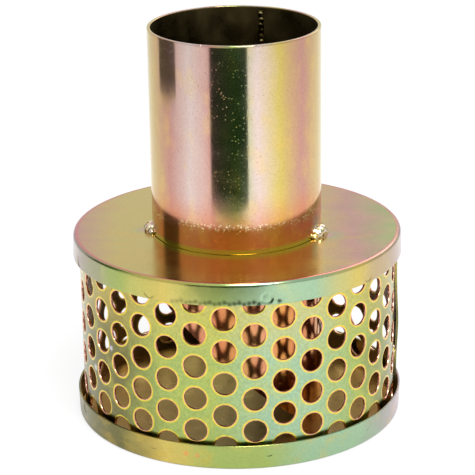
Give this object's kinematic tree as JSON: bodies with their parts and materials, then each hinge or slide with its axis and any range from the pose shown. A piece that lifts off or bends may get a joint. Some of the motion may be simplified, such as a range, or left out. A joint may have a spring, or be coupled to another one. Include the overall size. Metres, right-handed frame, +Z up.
{
  "type": "hose tail strainer",
  "caption": "Round suction strainer: a perforated sheet drum between two pressed lids, with a plain hose tail standing up from the cap.",
  "frame": {"origin": "centre of the base's underside, on the ground", "axes": "+Z up along the hose tail, -Y towards the picture's camera, +X to its right, where the screen's lap is"},
  "size_m": [0.1498, 0.1498, 0.1804],
  "materials": {
    "lid_steel": "zinc plated, yellow passivated, glossy",
    "screen_steel": "zinc plated, yellow passivated",
    "tail_steel": "zinc plated, yellow passivated, glossy",
    "weld_metal": "zinc plated over weld ripples"
  },
  "bodies": {
    "root": {"base_plate": "lid_steel", "strainer_screen": "screen_steel", "cap": "lid_steel", "hose_tail": "tail_steel", "tail_seam_bead": "weld_metal", "tack_weld_left": "weld_metal", "tack_weld_right": "weld_metal", "tack_weld_rear": "weld_metal", "seam_tack_weld": "weld_metal"}
  },
  "joints": []
}
